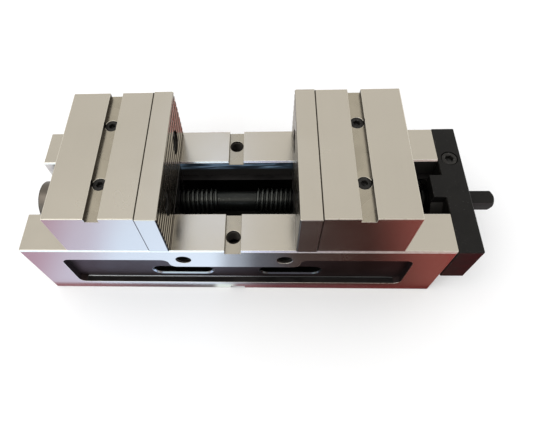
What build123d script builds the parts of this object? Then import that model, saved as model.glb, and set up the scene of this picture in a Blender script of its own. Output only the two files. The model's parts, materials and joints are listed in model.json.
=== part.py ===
from build123d import *
import os

# Self-centering vise: two jaws on one slotted body, drawn together or apart by one screw
# that has a left-hand and a right-hand thread.
# Frame: X along the screw, Y across, Z up. The origin is on the underside, at the cross
# keyway on the vise's centre line. Lengths are in millimetres.

# body, in layers from the underside up
body_length = 432.0
body_width = 152.0
floor_thickness = 20.0
undercut_height = 24.0
neck_height = 30.0
guide_height = 24.0
guide_width = 64.0
neck_width = 50.0
undercut_width = 82.0
way_chamfer = 1.6
corner_chamfer = 1.5
foot_chamfer = 1.0

# cross groove over the ways, with one tapped hole in each way
groove_width = 16.0
groove_depth = 5.0
groove_hole_diameter = 15.0
groove_hole_inset = 18.7
groove_hole_depth = 25.0

# cross keyway in the underside
keyway_width = 16.0
keyway_depth = 6.0

# clamping pocket in each long side
pocket_depth = 7.5
pocket_end_wall = 36.0
pocket_ledge_height = 17.5
pocket_top_wall = 20.5
pocket_waist_length = 136.0
pocket_waist_drop = 16.5
pocket_corner = 8.0

# chip windows through the pocket's wall into the undercut
window_length = 65.0
window_height = 18.0
window_spacing = 118.0
window_chamfer = 1.5

# tapped holes in each long side
side_hole_diameter = 16.0
side_hole_spacing = 103.0
side_hole_drop = 19.5
side_hole_depth = 28.0

# lead screw
axis_drop = 5.25
thread_diameter = 28.0
core_diameter = 23.0
core_length = 36.0
left_journal_diameter = 20.0
right_journal_diameter = 24.0
shoulder_reach = 10.0
drive_square = 15.0
drive_length = 34.5
thread_lead_in = 1.5
drive_chamfer = 3.0

# end plate with its boss and tongue
end_plate_thickness = 24.5
end_plate_height = 58.5
nose_length = 12.5
boss_diameter = 46.0
tongue_width = 27.0
sleeve_diameter = 36.0
sleeve_length = 18.5
split_width = 2.5
pinch_offset = 35.0
plate_chamfer = 1.0
plate_screw_side_inset = 16.0
plate_screw_low_inset = 12.0
plate_screw_size = 10
plate_screw_length = 30.0
plate_screw_cover = 1.0
pinch_screw_length = 30.0
pinch_screw_cover = 0.5

# thrust washers and lock nut
washer_thickness = 2.5
washer_diameter = 34.0
lock_nut_diameter = 34.0
lock_nut_length = 10.0
lock_nut_slot_width = 5.0
lock_nut_slot_depth = 2.5
lock_screw_size = 5.0

# bearing block in the slot's left end
block_diameter = 47.0
block_foot_width = 80.0
bush_diameter = 26.0
block_screw_size = 6
block_screw_spacing = 60.0
block_screw_length = 25.0
block_screw_cover = 2.0

# jaws: carrier, plate, and the threaded slide under them
jaw_setback = 50.0
jaw_width = 150.0
jaw_height = 63.5
carrier_length = 84.0
carrier_chamfer = 0.5
top_groove_width = 13.0
top_groove_depth = 5.0
top_groove_inset = 39.0
carrier_screw_size = 8
carrier_screw_length = 45.0
carrier_screw_cover = 5.2
carrier_head_gap = 0.25
flange_overhang = 13.0
flange_height = 16.0
flange_screw_inset = 10.0
plate_thickness = 20.0
plate_overhang = 1.0
face_chamfer = 1.2
plate_bolt_size = 16
plate_bolt_length = 30.0
plate_bolt_spacing = 74.0
plate_bolt_drop = 34.5
plate_bolt_cover = 2.0
key_width = 12.0
key_height = 8.0
key_length = 70.0
key_inset = 64.0
hold_down_thickness = 12.0
hold_down_side_gap = 0.5
hold_down_screw_size = 6
hold_down_screw_length = 20.0
hold_down_screw_cover = 0.5
hold_down_screw_rows = (18.0, 86.0)
hold_down_screw_spacing = 39.0

# serrations of the jaw plates
serration_count = 8
serration_pitch = 8.0
serration_width = 4.0
serration_depth = 1.0
serration_top_land = 2.5

# clearances
slide_gap = 0.05
guide_gap = 0.05
running_gap = 0.05
seat_gap = 0.02
tap_gap = 0.02
end_float = 0.05
shank_gap = 0.5
head_gap = 0.75
relief_gap = 0.3
tap_run_out = 3.0
cut_over = 1.0
drill_point_angle = 59.0

# socket head cap screws: nominal size to head diameter, head height and key width. The
# largest has a low head.
cap_screws = {6: (10.0, 6.0, 5.0), 8: (13.0, 8.0, 6.0), 10: (16.0, 10.0, 8.0), 16: (24.0, 9.0, 12.0)}
socket_depth_share = 0.55

# heights that follow from the layers
rail_underside = floor_thickness + undercut_height
ledge_height = rail_underside + neck_height
way_height = ledge_height + guide_height
axis_height = ledge_height - axis_drop
jaw_base = way_height + slide_gap
jaw_top = way_height + jaw_height
flange_bottom = way_height + relief_gap
flange_top = flange_bottom + flange_height
hold_down_top = rail_underside - slide_gap

# stations along X that follow from the lengths
body_end = body_length / 2
carrier_outer = body_end - jaw_setback
carrier_inner = carrier_outer - carrier_length
jaw_face = carrier_inner - plate_thickness
nose_face = body_end - nose_length
plate_outer = body_end + end_plate_thickness
shoulder_face = body_end - shoulder_reach
sleeve_inner = shoulder_face + washer_thickness
sleeve_outer = sleeve_inner + sleeve_length
nut_inner = sleeve_outer + washer_thickness
nut_outer = nut_inner + lock_nut_length
drive_end = plate_outer + drive_length

groove_hole_y = body_width / 2 - groove_hole_inset
flange_half = guide_width / 2 + flange_overhang
carrier_screw_x = carrier_inner + top_groove_inset
carrier_screw_y = flange_half - flange_screw_inset
plate_screw_y = body_width / 2 - plate_screw_side_inset
plate_screw_low_z = way_height - end_plate_height + plate_screw_low_inset
plate_screw_high_z = way_height - plate_screw_low_inset
plate_bolt_z = jaw_top - plate_bolt_drop
pinch_x = body_end + end_plate_thickness / 2


def bar(x_low, x_high, y_half, z_low, z_high):
    """A block between two X stations, symmetric about the centre plane."""
    size = (x_high - x_low, 2 * y_half, z_high - z_low)
    return Pos((x_low + x_high) / 2, 0, (z_low + z_high) / 2) * Box(*size)


def along_x(x, y, z):
    """A place whose own +Z runs along the vise's +X."""
    return Location((x, y, z), (0, 90, 0))


def rod(x_low, x_high, radius, y=0.0, z=axis_height):
    """A round bar along X."""
    return along_x((x_low + x_high) / 2, y, z) * Cylinder(radius, x_high - x_low)


def profile_along_x(points, x_low, x_high):
    """A closed outline in Y and Z, extruded between two X stations."""
    outline = Plane.YZ.offset(x_low) * make_face(Polyline(*points, close=True))
    return extrude(outline, x_high - x_low)


def mirrored(points):
    """The outline's points for positive Y, closed by their mirror images."""
    return points + [(-y, z) for y, z in reversed(points)]


def both_sides(shape):
    """A shape and its mirror image across the centre plane."""
    return shape + mirror(shape, about=Plane.XZ)


def drilled_hole(diameter, depth):
    """A blind hole's tool below z = 0, with the drill's cone at its end."""
    cone = Rot(180, 0, 0) * Cone(diameter / 2, 0, diameter / 2 / tan_of(drill_point_angle))
    straight = Pos(0, 0, (cut_over - depth) / 2) * Cylinder(diameter / 2, depth + cut_over)
    return straight + Pos(0, 0, -depth - diameter / 4 / tan_of(drill_point_angle)) * cone


def tan_of(degrees):
    """Tangent of an angle in degrees, from a unit vector turned by it."""
    turned = Vector(1, 0, 0).rotate(Axis.Z, degrees)
    return turned.Y / turned.X


def cap_screw(size, length):
    """A socket head cap screw along Z, its head seated on z = 0 and its shank below."""
    head_diameter, head_height, key = cap_screws[size]
    head = Pos(0, 0, head_height / 2) * Cylinder(head_diameter / 2, head_height)
    shank = Pos(0, 0, -length / 2) * Cylinder(size / 2, length)
    socket_depth = head_height * socket_depth_share
    key_hole = RegularPolygon(key / 2, 6, major_radius=False)
    socket = extrude(Pos(0, 0, head_height - socket_depth) * key_hole, socket_depth + cut_over)
    return head + shank - socket


def head_hole(size, depth, reach, gap=head_gap):
    """The tool for a counterbore down to z = 0 and a clearance hole reaching below it."""
    head_diameter = cap_screws[size][0]
    bore = Pos(0, 0, (depth + cut_over) / 2) * Cylinder(head_diameter / 2 + gap, depth + cut_over)
    shank = Pos(0, 0, -reach / 2) * Cylinder(size / 2 + shank_gap, reach)
    return bore + shank


def tapped_hole(size, near, far):
    """The tool for a tapped hole between two depths below z = 0."""
    return Pos(0, 0, -(near + far) / 2) * Cylinder(size / 2 + tap_gap, far - near)


def slot_profile():
    """The stepped slot's outline: guide with chamfered edges, neck and undercut."""
    lift = cut_over + way_chamfer
    return mirrored(
        [
            (guide_width / 2 + lift, way_height + cut_over),
            (guide_width / 2, way_height - way_chamfer),
            (guide_width / 2, ledge_height),
            (neck_width / 2, ledge_height),
            (neck_width / 2, rail_underside),
            (undercut_width / 2, rail_underside),
            (undercut_width / 2, floor_thickness),
        ]
    )


def side_pocket():
    """The clamping pocket of the front side: full height at its ends, lower at its waist."""
    end = body_end - pocket_end_wall
    waist = pocket_waist_length / 2
    top = way_height - pocket_top_wall
    low_top = top - pocket_waist_drop
    half = [(end, pocket_ledge_height), (end, top), (waist, top), (waist, low_top)]
    outline = make_face(Polyline(*mirrored(half), close=True))
    radius = min(pocket_corner, 0.48 * pocket_waist_drop)
    outline = fillet(outline.vertices(), radius)
    back = Plane.XZ.offset(body_width / 2 - pocket_depth)
    return extrude(back * outline, pocket_depth + cut_over)


def side_window(x):
    """One oblong window from the pocket's back wall through to the undercut."""
    z = rail_underside - window_height / 2
    wall = body_width / 2 - pocket_depth
    plain = SlotOverall(window_length, window_height)
    wide = SlotOverall(window_length + 2 * window_chamfer, window_height + 2 * window_chamfer)
    inner = Plane.XZ.offset(undercut_width / 2 - cut_over) * Pos(x, z) * plain
    through = extrude(inner, wall - undercut_width / 2 + 2 * cut_over)
    mouth = Plane.XZ.offset(wall) * Pos(x, z) * wide
    throat = Plane.XZ.offset(wall - window_chamfer) * Pos(x, z) * plain
    return through + loft([throat.face(), mouth.face()])


def vise_body():
    """The body: ground block, stepped slot, grooves, pockets, windows and screw holes."""
    block = bar(-body_end, body_end, body_width / 2, 0, way_height)
    tops = block.faces().sort_by(Axis.Z)[-1].edges().filter_by(Axis.X)
    block = chamfer(tops, way_chamfer)
    block = chamfer(block.edges().filter_by(Axis.Z), corner_chamfer)
    block = chamfer(block.faces().sort_by(Axis.Z)[0].edges(), foot_chamfer)
    block -= profile_along_x(slot_profile(), -body_end - cut_over, body_end + cut_over)
    block -= bar(
        -groove_width / 2, groove_width / 2, body_width, way_height - groove_depth, way_height + cut_over
    )
    block -= bar(-keyway_width / 2, keyway_width / 2, body_width, -cut_over, keyway_depth)
    block -= both_sides(side_pocket())
    windows = side_window(-window_spacing / 2) + side_window(window_spacing / 2)
    block -= both_sides(windows)
    for y in (-groove_hole_y, groove_hole_y):
        mouth = Pos(0, y, way_height - groove_depth)
        block -= mouth * drilled_hole(groove_hole_diameter, groove_hole_depth)
    for x in (-side_hole_spacing / 2, side_hole_spacing / 2):
        z = way_height - side_hole_drop
        for side in (-1, 1):
            mouth = Location((x, side * body_width / 2, z), (-90 * side, 0, 0))
            block -= mouth * drilled_hole(side_hole_diameter, side_hole_depth)
    block -= plate_screw_taps()
    block -= block_screw_holes()
    return block


def plate_screw_places():
    """Where the end plate's screws seat. The upper rear corner is left free to pinch."""
    seat = plate_outer - plate_screw_cover - cap_screws[plate_screw_size][1]
    spots = [
        (-plate_screw_y, plate_screw_low_z),
        (plate_screw_y, plate_screw_low_z),
        (-plate_screw_y, plate_screw_high_z),
    ]
    return [along_x(seat, y, z) for y, z in spots]


def plate_screw_taps():
    """Tapped holes in the body's right end."""
    seat_depth = end_plate_thickness - plate_screw_cover - cap_screws[plate_screw_size][1]
    tool = tapped_hole(plate_screw_size, seat_depth, plate_screw_length + tap_run_out)
    return Compound([place * tool for place in plate_screw_places()])


def block_screw_places():
    """Where the bearing block's screws seat, head down in the body's floor."""
    seat = block_screw_cover + cap_screws[block_screw_size][1]
    x = -(body_end + nose_face) / 2
    half = block_screw_spacing / 2
    return [Location((x, y, seat), (180, 0, 0)) for y in (-half, half)]


def block_screw_holes():
    """Counterbored holes for the bearing block's screws."""
    depth = block_screw_cover + cap_screws[block_screw_size][1]
    tool = head_hole(block_screw_size, depth, floor_thickness - depth)
    return Compound([place * tool for place in block_screw_places()])


def end_plate():
    """The black end plate: its boss and tongue stand in the slot, and one split pinches the bore."""
    low = way_height - end_plate_height
    plate = bar(body_end, plate_outer, body_width / 2, low, way_height)
    plate = chamfer(plate.edges(), plate_chamfer)
    plate += rod(nose_face, body_end + cut_over, boss_diameter / 2)
    tongue = bar(nose_face, body_end + cut_over, tongue_width / 2, axis_height, way_height)
    nose_edge = tongue.edges().filter_by(Axis.Y).sort_by(Axis.Z)[-2:].sort_by(Axis.X)[0]
    plate += chamfer(nose_edge, plate_chamfer / 2)
    plate -= rod(nose_face - cut_over, plate_outer + cut_over, sleeve_diameter / 2)
    split_low = axis_height - split_width / 2
    split_high = split_low + split_width
    split = bar(nose_face - cut_over, plate_outer + cut_over, body_width / 4, split_low, split_high)
    plate -= Pos(0, body_width / 4 + cut_over, 0) * split
    depth = plate_screw_cover + cap_screws[plate_screw_size][1]
    hole = head_hole(plate_screw_size, depth, end_plate_thickness)
    for place in plate_screw_places():
        plate -= place * hole
    depth = pinch_screw_cover + cap_screws[plate_screw_size][1]
    to_split = way_height - depth - axis_height
    plate -= pinch_place() * head_hole(plate_screw_size, depth, to_split)
    plate -= pinch_place() * tapped_hole(plate_screw_size, to_split, pinch_screw_length + tap_run_out)
    return plate


def pinch_place():
    """Where the pinch screw seats in the end plate's top, behind the bore."""
    seat = way_height - pinch_screw_cover - cap_screws[plate_screw_size][1]
    return Pos(pinch_x, pinch_offset, seat)


def end_plate_screws():
    """The end plate's cap screws."""
    screw = cap_screw(plate_screw_size, plate_screw_length)
    return Compound([place * screw for place in plate_screw_places()])


def pinch_screw():
    """The screw that pinches the end plate's split bore on the sleeve."""
    return pinch_place() * cap_screw(plate_screw_size, pinch_screw_length)


def ring(x_low, x_high, outer_radius, inner_radius):
    """A plain ring round the screw's axis."""
    return rod(x_low, x_high, outer_radius) - rod(x_low - cut_over, x_high + cut_over, inner_radius)


def bearing_sleeve():
    """The sleeve that the screw's right journal turns in."""
    journal = right_journal_diameter / 2 + running_gap
    return ring(sleeve_inner, sleeve_outer, sleeve_diameter / 2 - seat_gap, journal)


def thrust_washer(x_low):
    """A thrust washer beside the sleeve, clear of the turning faces."""
    bore = right_journal_diameter / 2 + 2 * running_gap
    return ring(x_low, x_low + washer_thickness, washer_diameter / 2, bore)


def bearing_block():
    """The round-topped block that closes the slot's left end and carries the bush."""
    radius = block_diameter / 2
    foot = block_foot_width / 2
    foot_top = rail_underside - relief_gap
    post = mirrored(
        [(radius, axis_height), (radius, foot_top), (foot, foot_top), (foot, floor_thickness)]
    )
    block = profile_along_x(post, -body_end, -nose_face)
    block += rod(-body_end, -nose_face, radius)
    rim = block.edges().filter_by(GeomType.CIRCLE).sort_by(Axis.X)[0]
    block = chamfer(rim, plate_chamfer)
    block -= rod(-body_end - cut_over, -nose_face + cut_over, bush_diameter / 2)
    foot_start = floor_thickness - block_screw_cover - cap_screws[block_screw_size][1]
    tool = tapped_hole(block_screw_size, foot_start - cut_over, block_screw_length + tap_run_out)
    for place in block_screw_places():
        block -= place * tool
    return block


def bearing_block_screws():
    """The bearing block's cap screws."""
    screw = cap_screw(block_screw_size, block_screw_length)
    return Compound([place * screw for place in block_screw_places()])


def left_bush():
    """The bronze bush of the screw's left journal."""
    journal = left_journal_diameter / 2 + running_gap
    return ring(-body_end + relief_gap, -nose_face, bush_diameter / 2 - seat_gap, journal)


def turned(blank):
    """A blank turned about the screw's axis, from its X stations and radii."""
    centre_plane = Plane(origin=(0, 0, axis_height), x_dir=(1, 0, 0), z_dir=(0, -1, 0))
    outline = centre_plane * make_face(Polyline(*blank, close=True))
    return revolve(outline, Axis((0, 0, axis_height), (1, 0, 0)))


def lead_screw():
    """The screw turned as one profile, with its square drive milled on the right end."""
    thread = thread_diameter / 2
    core = core_diameter / 2
    left_journal = left_journal_diameter / 2
    right_journal = right_journal_diameter / 2
    thread_start = -nose_face + relief_gap
    half_core = core_length / 2
    blank = [
        (-body_end + cut_over, 0),
        (-body_end + cut_over, left_journal - cut_over),
        (-body_end + 2 * cut_over, left_journal),
        (thread_start, left_journal),
        (thread_start, thread - thread_lead_in),
        (thread_start + thread_lead_in, thread),
        (-half_core - thread_lead_in, thread),
        (-half_core, core),
        (half_core, core),
        (half_core + thread_lead_in, thread),
        (shoulder_face - end_float, thread),
        (shoulder_face - end_float, right_journal),
        (nut_outer, right_journal),
        (nut_outer, 0),
    ]
    shaft = turned(blank)
    square = rod(nut_outer - cut_over, drive_end, drive_square)
    square &= bar(
        nut_outer - cut_over, drive_end, drive_square / 2,
        axis_height - drive_square / 2, axis_height + drive_square / 2,
    )
    return shaft + (square & turned_end())


def turned_end():
    """The blank that the square drive is milled from, coned at its free end."""
    corner = drive_square / 2 * 2 ** 0.5
    flat = drive_square / 2
    blank = [
        (nut_outer - cut_over, 0),
        (nut_outer - cut_over, corner),
        (drive_end - drive_chamfer, corner),
        (drive_end, flat - drive_chamfer / 6),
        (drive_end, 0),
    ]
    return turned(blank)


def lock_nut():
    """The slotted nut that takes up the screw's end float."""
    inner = right_journal_diameter / 2 + seat_gap
    outer = lock_nut_diameter / 2
    nut = ring(nut_inner + end_float, nut_outer, outer, inner)
    low = axis_height - lock_nut_slot_width / 2
    high = axis_height + lock_nut_slot_width / 2
    notch = bar(nut_inner, nut_outer + cut_over, lock_nut_slot_depth, low, high)
    for y in (-outer, outer):
        nut -= Pos(0, y, 0) * notch
    tapped = Cylinder(lock_screw_size / 2 + tap_gap, lock_nut_diameter / 2)
    return nut - Pos(*lock_screw_centre()) * tapped


def lock_screw_centre():
    """The middle of the lock nut's wall, above the screw."""
    wall_middle = (lock_nut_diameter + right_journal_diameter) / 4
    return ((nut_inner + nut_outer) / 2, 0, axis_height + wall_middle)


def lock_nut_screw():
    """The set screw in the lock nut's wall."""
    wall = (lock_nut_diameter - right_journal_diameter) / 2
    x, y, z = lock_screw_centre()
    screw = Pos(x, y, z) * Cylinder(lock_screw_size / 2, wall - 2 * relief_gap)
    key = RegularPolygon(lock_screw_size / 4, 6, major_radius=False)
    return screw - extrude(Pos(x, y, z) * key, wall)


def slide():
    """The right jaw's slide: flange under the carrier, guide and neck in the slot, and a bore."""
    flange = bar(carrier_inner, carrier_outer, flange_half, flange_bottom, flange_top)
    guide_bottom = ledge_height + relief_gap
    guide = bar(jaw_face, carrier_outer, guide_width / 2 - guide_gap, guide_bottom, way_height)
    neck = bar(jaw_face, carrier_outer, neck_width / 2 - 2 * guide_gap, hold_down_top, guide_bottom)
    web = bar(carrier_inner, carrier_outer, guide_width / 2 - guide_gap, way_height, flange_bottom)
    part = guide + neck + web
    part = chamfer(part.faces().sort_by(Axis.X)[0].edges().filter_by(Axis.Z), corner_chamfer / 4)
    part += flange
    part -= rod(jaw_face - cut_over, carrier_outer + cut_over, thread_diameter / 2 + running_gap)
    seat_depth = jaw_top - carrier_screw_cover - cap_screws[carrier_screw_size][1] - flange_top
    for place in carrier_screw_places():
        part -= place * tapped_hole(carrier_screw_size, seat_depth - cut_over, jaw_top - flange_bottom)
    seat = hold_down_screw_cover + cap_screws[hold_down_screw_size][1]
    start = hold_down_thickness - seat - cut_over
    end = hold_down_screw_length + tap_run_out / 2
    for place in hold_down_screw_places():
        part -= place * tapped_hole(hold_down_screw_size, start, end)
    return part - key_room()


def carrier_screw_places():
    """Where the carrier's screws seat, below the top groove."""
    seat = jaw_top - carrier_screw_cover - cap_screws[carrier_screw_size][1]
    return [Pos(carrier_screw_x, y, seat) for y in (-carrier_screw_y, carrier_screw_y)]


def plate_bolt_places():
    """Where the jaw plate's screws seat, in from the clamping face."""
    x = jaw_face + plate_bolt_cover + cap_screws[plate_bolt_size][1]
    half = plate_bolt_spacing / 2
    return [Location((x, y, plate_bolt_z), (0, -90, 0)) for y in (-half, half)]


def hold_down_screw_places():
    """Where the hold-down plate's screws seat, head down."""
    seat = hold_down_screw_cover + cap_screws[hold_down_screw_size][1]
    z = hold_down_top - hold_down_thickness + seat
    half = hold_down_screw_spacing / 2
    spots = [(jaw_face + row, y) for row in hold_down_screw_rows for y in (-half, half)]
    return [Location((x, y, z), (180, 0, 0)) for x, y in spots]


def key_room(grow=seat_gap):
    """The space of the cross key between carrier and slide."""
    x = carrier_inner + key_inset
    half = key_width / 2 + grow
    low = flange_top - key_height / 2 - grow
    return bar(x - half, x + half, key_length / 2 + grow, low, low + key_height + 2 * grow)


def cross_key():
    """The key that carries the clamping force from the slide to the carrier."""
    key = key_room(grow=0.0)
    return chamfer(key.edges().filter_by(Axis.Z), key_width / 24)


def carrier():
    """The right jaw's carrier: block on the ways, channelled below for the slide's flange."""
    block = bar(carrier_inner, carrier_outer, jaw_width / 2, jaw_base, jaw_top)
    block = chamfer(block.edges(), carrier_chamfer)
    channel_half = flange_half + guide_gap
    block -= bar(carrier_inner - cut_over, carrier_outer + cut_over, channel_half, 0, flange_top)
    half = top_groove_width / 2
    x = carrier_screw_x
    block -= bar(x - half, x + half, jaw_width, jaw_top - top_groove_depth, jaw_top + cut_over)
    depth = carrier_screw_cover + cap_screws[carrier_screw_size][1]
    hole = head_hole(carrier_screw_size, depth, jaw_height, carrier_head_gap)
    for place in carrier_screw_places():
        block -= place * hole
    to_joint = plate_thickness - plate_bolt_cover - cap_screws[plate_bolt_size][1]
    hole = tapped_hole(plate_bolt_size, to_joint - cut_over, plate_bolt_length + tap_run_out)
    for place in plate_bolt_places():
        block -= place * hole
    return block - key_room()


def serrations():
    """The V grooves of the right jaw plate, as one comb of long prisms."""
    half = serration_width / 2
    outside = jaw_face - cut_over
    flare = half * (serration_depth + cut_over) / serration_depth
    comb = []
    for row in range(serration_count):
        z = jaw_top - serration_top_land - half - row * serration_pitch
        tooth = [(outside, z + flare), (jaw_face + serration_depth, z), (outside, z - flare)]
        face = Plane.XZ.offset(-jaw_width) * make_face(Polyline(*tooth, close=True))
        comb.append(extrude(face, 2 * jaw_width))
    return Compound(comb)


def jaw_plate():
    """The right jaw's serrated plate."""
    width = jaw_width / 2 + plate_overhang
    plate = bar(jaw_face, carrier_inner, width, jaw_base, jaw_top)
    plate = chamfer(plate.edges().filter_by(Axis.Z).group_by(Axis.X)[0], face_chamfer)
    plate = chamfer(plate.edges().filter_by(Axis.Z).group_by(Axis.X)[-1], carrier_chamfer)
    for end in (0, -1):
        plate = chamfer(plate.faces().sort_by(Axis.Z)[end].edges(), carrier_chamfer)
    plate -= serrations()
    depth = plate_bolt_cover + cap_screws[plate_bolt_size][1]
    hole = head_hole(plate_bolt_size, depth, plate_thickness)
    for place in plate_bolt_places():
        plate -= place * hole
    return plate


def hold_down_plate():
    """The plate under the slide that keeps the jaw from lifting off the ways."""
    width = undercut_width / 2 - hold_down_side_gap
    plate = bar(jaw_face, carrier_outer, width, hold_down_top - hold_down_thickness, hold_down_top)
    plate = chamfer(plate.edges().filter_by(Axis.Z), corner_chamfer)
    depth = hold_down_screw_cover + cap_screws[hold_down_screw_size][1]
    hole = head_hole(hold_down_screw_size, depth, hold_down_thickness)
    for place in hold_down_screw_places():
        plate -= place * hole
    return plate


def placed(places, screw):
    """One screw at each place."""
    return Compound([place * screw for place in places])


def right_jaw():
    """The right jaw's pieces by name."""
    return {
        "carrier": carrier(),
        "jaw_plate": jaw_plate(),
        "jaw_plate_screws": placed(plate_bolt_places(), cap_screw(plate_bolt_size, plate_bolt_length)),
        "slide": slide(),
        "carrier_screws": placed(
            carrier_screw_places(), cap_screw(carrier_screw_size, carrier_screw_length)
        ),
        "cross_key": cross_key(),
        "hold_down_plate": hold_down_plate(),
        "hold_down_screws": placed(
            hold_down_screw_places(), cap_screw(hold_down_screw_size, hold_down_screw_length)
        ),
    }


def all_pieces():
    """Every node's solid or group of solids."""
    pieces = {
        "vise_body": vise_body(),
        "end_plate": end_plate(),
        "end_plate_screws": end_plate_screws(),
        "pinch_screw": pinch_screw(),
        "bearing_sleeve": bearing_sleeve(),
        "inner_thrust_washer": thrust_washer(shoulder_face),
        "outer_thrust_washer": thrust_washer(sleeve_outer),
        "bearing_block": bearing_block(),
        "bearing_block_screws": bearing_block_screws(),
        "left_bush": left_bush(),
        "lead_screw": lead_screw(),
        "lock_nut": lock_nut(),
        "lock_nut_screw": lock_nut_screw(),
    }
    for name, shape in right_jaw().items():
        pieces["right_" + name] = shape
        pieces["left_" + name] = mirror(shape, about=Plane.YZ)
    return pieces


os.makedirs("parts", exist_ok=True)
for node, shape in all_pieces().items():
    export_step(shape, f"parts/{node}.step")
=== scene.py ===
import json
import math

import bmesh
import bpy
from mathutils import Matrix, Vector


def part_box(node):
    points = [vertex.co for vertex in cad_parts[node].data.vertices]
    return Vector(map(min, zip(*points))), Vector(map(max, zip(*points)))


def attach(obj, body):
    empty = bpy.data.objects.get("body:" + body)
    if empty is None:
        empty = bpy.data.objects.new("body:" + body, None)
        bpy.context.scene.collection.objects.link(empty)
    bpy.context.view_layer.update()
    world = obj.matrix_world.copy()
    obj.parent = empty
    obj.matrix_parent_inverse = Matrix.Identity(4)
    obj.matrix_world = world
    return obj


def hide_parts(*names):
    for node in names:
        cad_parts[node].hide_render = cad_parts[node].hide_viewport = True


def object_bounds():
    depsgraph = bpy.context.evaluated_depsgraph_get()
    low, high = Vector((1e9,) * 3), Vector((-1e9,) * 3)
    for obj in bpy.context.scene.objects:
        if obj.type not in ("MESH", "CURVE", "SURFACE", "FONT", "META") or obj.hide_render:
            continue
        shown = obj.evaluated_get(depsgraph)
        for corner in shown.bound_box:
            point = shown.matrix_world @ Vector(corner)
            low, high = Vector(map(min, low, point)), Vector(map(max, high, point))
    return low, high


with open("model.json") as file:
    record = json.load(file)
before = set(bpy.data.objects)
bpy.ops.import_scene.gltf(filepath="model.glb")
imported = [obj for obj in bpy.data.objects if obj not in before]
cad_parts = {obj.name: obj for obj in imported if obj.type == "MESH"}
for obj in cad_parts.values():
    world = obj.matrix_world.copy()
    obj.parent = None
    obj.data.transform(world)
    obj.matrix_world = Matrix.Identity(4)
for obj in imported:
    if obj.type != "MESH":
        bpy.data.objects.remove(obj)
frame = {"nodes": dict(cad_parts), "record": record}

CAD_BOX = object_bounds()

bl_info = {
    "name": "Self-centering vise",
    "version": (1, 0, 0),
    "blender": (4, 5, 0),
    "location": "3D View > Sidebar > Vise",
    "description": "Builds the finished pieces of a self-centering vise on its packed frame",
    "category": "Object",
}

MM = 0.001

# where each row of cap screws sits: CAD node, body, nominal size in mm, and the way its heads face
SCREW_ROWS = (
    ("end_plate_screws", "base", 10, (1, 0, 0)),
    ("pinch_screw", "base", 10, (0, 0, 1)),
    ("bearing_block_screws", "base", 6, (0, 0, -1)),
    ("left_carrier_screws", "left_jaw", 8, (0, 0, 1)),
    ("right_carrier_screws", "right_jaw", 8, (0, 0, 1)),
    ("left_jaw_plate_screws", "left_jaw", 16, (1, 0, 0)),
    ("right_jaw_plate_screws", "right_jaw", 16, (-1, 0, 0)),
    ("left_hold_down_screws", "left_jaw", 6, (0, 0, -1)),
    ("right_hold_down_screws", "right_jaw", 6, (0, 0, -1)),
)
# head diameter, head height, key width and thread pitch of each nominal size, in mm
CAP_SCREWS = {6: (10, 6, 5, 1), 8: (13, 8, 6, 1.25), 10: (16, 10, 8, 1.5), 16: (24, 9, 12, 2)}

# levels and half widths of the body's slot, pockets and grooves, which tell its faces apart
SLOT_FLOOR = 20 * MM
RAIL_UNDERSIDE = 44 * MM
LEDGE = 74 * MM
GUIDE_HALF = 32 * MM
UNDERCUT_HALF = 41 * MM
POCKET_DEPTH = 7.5 * MM
POCKET_LEDGE = 17.5 * MM
POCKET_LEVELS = (15 * MM, 80 * MM)
POCKET_END_WALL = 30 * MM
POCKET_FILLET = 1.5 * MM
WINDOW_LEVELS = (20 * MM, 46 * MM)
WINDOW_RIM = 2 * MM
GROOVE_DEPTH = 5 * MM
GROOVE_HALF = 8 * MM
KEYWAY_DEPTH = 6 * MM
SERRATION_DEPTH = 1.0 * MM
SEAM = 0.8 * MM
NEAR = 0.2 * MM
# a normal's share along an axis that it faces squarely
SQUARE = (0.9, 2)
# distances from the middle between which painted reflection, painted light and painted shade fade
GUIDE_SHEEN = (150 * MM, 90 * MM)
LIT_END = (-160 * MM, -195 * MM)
DIMMED = (-30 * MM, 40 * MM)
THREAD_SHADE = (64 * MM, 45 * MM)

# a thread's ridge: its foot as a share of the pitch, its crest of the foot, its faded ends of a turn
RIDGE_FOOT = 0.78
RIDGE_CREST = 0.42
RIDGE_FADE = 0.4
SMOOTH_ANGLE = math.radians(28)
SHARP_ANGLE = math.radians(25)

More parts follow.
